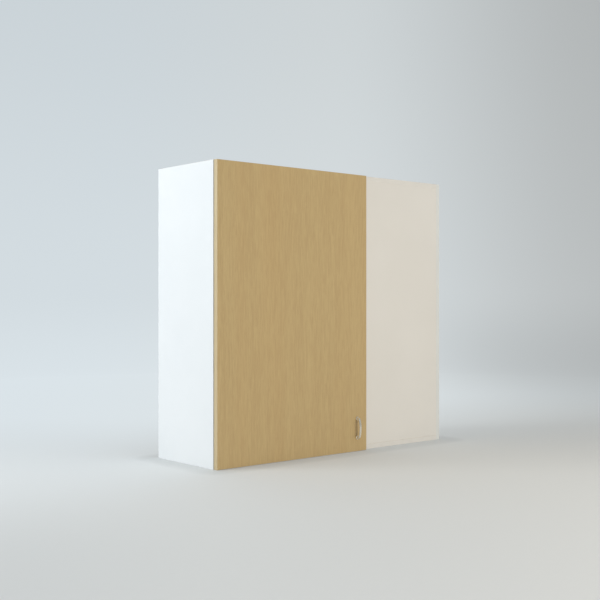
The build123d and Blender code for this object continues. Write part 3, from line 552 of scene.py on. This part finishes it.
# ---------------------------------------------------------------- bow handle
def bow_handle():
    """One bar bent out from the door in a shallow bow, with a domed foot at each end."""
    low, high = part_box("handle")
    foot_height, foot_width = 16.0 * mm, high.x - low.x
    bar_height, bar_width = 6.4 * mm, 8.5 * mm
    corner = 8.0 * mm  # radius of the bend from a foot's leg into the bow
    bend = math.radians(74.0)
    dome_share = 0.65  # of the spread at the feet, the rest is a long flare
    foot_steps, corner_steps, bow_steps, round_steps = 6, 8, 10, 40

    half = (high.z - low.z - foot_height) / 2
    reach = high.y - low.y - bar_height / 2
    bow = (half - corner * (1 - math.cos(bend))) / math.cos(bend)
    leg = reach - corner * math.sin(bend) - bow * (1 - math.sin(bend))

    # stations of one half: way along the bar, distance off the door, height, lean
    quarter = math.pi / 2
    stations = []
    for step in range(foot_steps + 1):
        way = leg * math.sin(quarter * step / foot_steps)
        stations.append((way, way, -half, 0.0))
    for step in range(1, corner_steps + 1):
        turn = bend * step / corner_steps
        out = leg + corner * math.sin(turn)
        z = -half + corner * (1 - math.cos(turn))
        stations.append((leg + corner * turn, out, z, turn))
    for step in range(1, bow_steps + 1):
        turn = bend + (quarter - bend) * step / bow_steps
        way = leg + corner * bend + bow * (turn - bend)
        out = reach - bow * (1 - math.sin(turn))
        stations.append((way, out, -bow * math.cos(turn), turn))
    whole = 2 * stations[-1][0]
    stations += [(whole - way, out, -z, math.pi - turn) for way, out, z, turn in stations[-2::-1]]

    bm = bmesh.new()
    rings = []
    middle = (low + high) / 2
    for way, out, z, turn in stations:
        dome = math.sqrt(max(1 - (min(way, whole - way) / leg) ** 2, 0.0))
        flare = (1 - dome_share) * abs(2 * way / whole - 1) ** 4 + dome_share * dome
        width = bar_width + flare * (foot_width - bar_width)
        height = bar_height + flare * (foot_height - bar_height)
        centre = Vector((middle.x, high.y - out, middle.z + z))
        place = Matrix.Translation(centre) @ Matrix.Rotation(quarter - turn, 4, "X")
        size = Matrix.Diagonal((width / 2, height / 2, 1.0, 1.0))
        ring = bmesh.ops.create_circle(bm, segments=round_steps, radius=1.0, matrix=place @ size)
        rings.append({edge for vert in ring["verts"] for edge in vert.link_edges})
    for first, second in zip(rings, rings[1:]):
        bmesh.ops.bridge_loops(bm, edges=list(first | second))
    bmesh.ops.holes_fill(bm, edges=list(rings[0] | rings[-1]))
    bmesh.ops.recalc_face_normals(bm, faces=bm.faces[:])
    return made_piece(
        "bow_handle", bm, "door", "handle_metal", handle_finish, instead_of=["handle"]
    )


bow_handle()

# ---------------------------------------------------------------- stage
view_turn = math.radians(40.57)  # the camera looks this far round from the Y axis
floor_radius = 3.6
curve_radius = 1.6  # of the backdrop's bend from the floor into its wall
wall_top = 5.0
round_steps = 96
curve_steps = 16
foot_middle, foot_half_width, foot_half_depth = 0.01, 0.5, 0.155  # where the cabinet stands


def stage_finish(name):
    """Pale paper round the cabinet that turns into a backdrop lit by its own glow behind it, with
    painted light, painted shade and a painted contact shadow on the floor.
    """
    made = Finish(name)
    away = made.x * math.sin(view_turn) + made.y * math.cos(view_turn)
    aside = made.x * math.cos(view_turn) - made.y * math.sin(view_turn)
    left = (0.0 - aside).rise(0.1, 0.8)
    # painted light: the floor glows more away from the camera and to the left, less to the right,
    # which fills in shade behind the cabinet
    glow = (away - aside.rise(-0.5, 1.3) * 0.75 + left * 0.45).rise(-1.0, 1.4)

    # the backdrop's own light: duller to the right, and a little duller high up
    lit = made.mix(aside.rise(-1.8, 0.4), rgb(0.650, 0.713, 0.750), rgb(0.668, 0.715, 0.733))
    lit = made.mix(aside.rise(0.2, 2.6), lit, rgb(0.487, 0.510, 0.514))
    low = 1.0 - made.z.rise(0.0, 0.6)
    high = made.z.rise(0.5, 3.4)
    lit = made.tint(lit, 1.0 - low * (aside.rise(0.2, 1.6) * 0.17 - 0.05) - high * 0.09)

    # the floor's paper: painted shade towards the camera, and a painted contact shadow along the
    # cabinet's foot
    sheet = made.mix(aside.rise(-1.0, 1.0), rgb(0.772, 0.788, 0.783), rgb(0.795, 0.790, 0.752))
    fibre = made.noise(made.place, 60.0, 3.0, 0.6)
    # painted shade: the paper darkens towards the camera, more so on the left
    near = (0.0 - away).rise(0.4, 1.6) * (0.05 + left * 0.10)
    # painted contact shadow: the paper and its glow darken within about 9 cm of the cabinet's
    # foot
    beside = (abs(made.x) - foot_half_width).most(0.0)
    before = (abs(made.y - foot_middle) - foot_half_depth).most(0.0)
    painted_contact_shadow = 1.0 - (beside * beside + before * before).rise(0.0, 0.008)
    painted_shadow_factor = 1.0 - painted_contact_shadow * 0.11
    sheet = made.tint(sheet, (0.99 + fibre * 0.02 - near) * painted_shadow_factor)
    made.set(
        Base_Color=made.mix(glow, sheet, rgb(0.0, 0.0, 0.0)),
        Emission_Color=made.tint(lit, glow * painted_shadow_factor),
        Emission_Strength=1.0,
        Roughness=0.85 + (fibre - 0.5) * 0.1,
        Specular_IOR_Level=0.1,
    )
    return made.material


paper = stage_finish("studio_paper")


def stage_piece(name, bm):
    mesh = bpy.data.meshes.new(name)
    for face in bm.faces:
        face.smooth = True
    bm.to_mesh(mesh)
    bm.free()
    piece = bpy.data.objects.new(name, mesh)
    bpy.context.scene.collection.objects.link(piece)
    mesh.materials.append(paper)
    return piece


bm = bmesh.new()
bmesh.ops.create_circle(bm, cap_ends=True, radius=floor_radius, segments=round_steps)
stage_piece("studio_floor", bm)

bm = bmesh.new()
line = []
for step in range(curve_steps + 1):
    turn = math.radians(90.0 * step / curve_steps)
    out = floor_radius + curve_radius * math.sin(turn)
    line.append((out, curve_radius * (1 - math.cos(turn))))
line.append((floor_radius + curve_radius, wall_top))
verts = [bm.verts.new((x, 0.0, z)) for x, z in line]
edges = [bm.edges.new(pair) for pair in zip(verts, verts[1:])]
bmesh.ops.spin(
    bm,
    geom=verts + edges,
    cent=(0, 0, 0),
    axis=(0, 0, 1),
    dvec=(0, 0, 0),
    angle=2 * math.pi,
    steps=round_steps,
    use_merge=True,
)
bmesh.ops.recalc_face_normals(bm, faces=bm.faces[:])
backdrop = stage_piece("studio_backdrop", bm)
backdrop.visible_shadow = False
backdrop.visible_diffuse = False

# ---------------------------------------------------------------- light and camera
aim = Vector((0.0, 0.0, 0.4))


def soft_light(name, place, width, height, power, colour):
    """A wide lamp that looks at the middle of the cabinet."""
    lamp = bpy.data.lights.new(name, "AREA")
    lamp.shape = "RECTANGLE"
    lamp.size = width
    lamp.size_y = height
    lamp.energy = power
    lamp.color = colour
    piece = bpy.data.objects.new(name, lamp)
    piece.location = place
    piece.rotation_mode = "QUATERNION"
    piece.rotation_quaternion = (aim - Vector(place)).to_track_quat("-Z", "Y")
    bpy.context.scene.collection.objects.link(piece)
    return piece


soft_light("left_window", (-3.1, 0.9, 1.6), 2.2, 2.2, 70.0, (0.92, 0.97, 1.0))
front = soft_light("front_lamp", (0.25, -3.4, 0.8), 2.2, 2.0, 60.0, (1.0, 0.975, 0.945))
front.visible_glossy = False

world = bpy.data.worlds.new("studio_air")
world.use_nodes = True
air = world.node_tree.nodes["Background"].inputs
air["Color"].default_value = rgb(0.965, 0.985, 1.0)
air["Strength"].default_value = 0.45
bpy.context.scene.world = world

camera_data = bpy.data.cameras.new("camera")
camera_data.sensor_width = 36.0
camera_data.lens = 59.46
camera = bpy.data.objects.new("camera", camera_data)
camera.location = (-2.213, -2.5255, 0.503)
camera.rotation_euler = (math.radians(90.0), 0.0, -view_turn)
bpy.context.scene.collection.objects.link(camera)
bpy.context.scene.camera = camera
bpy.context.scene.view_settings.view_transform = "Standard"
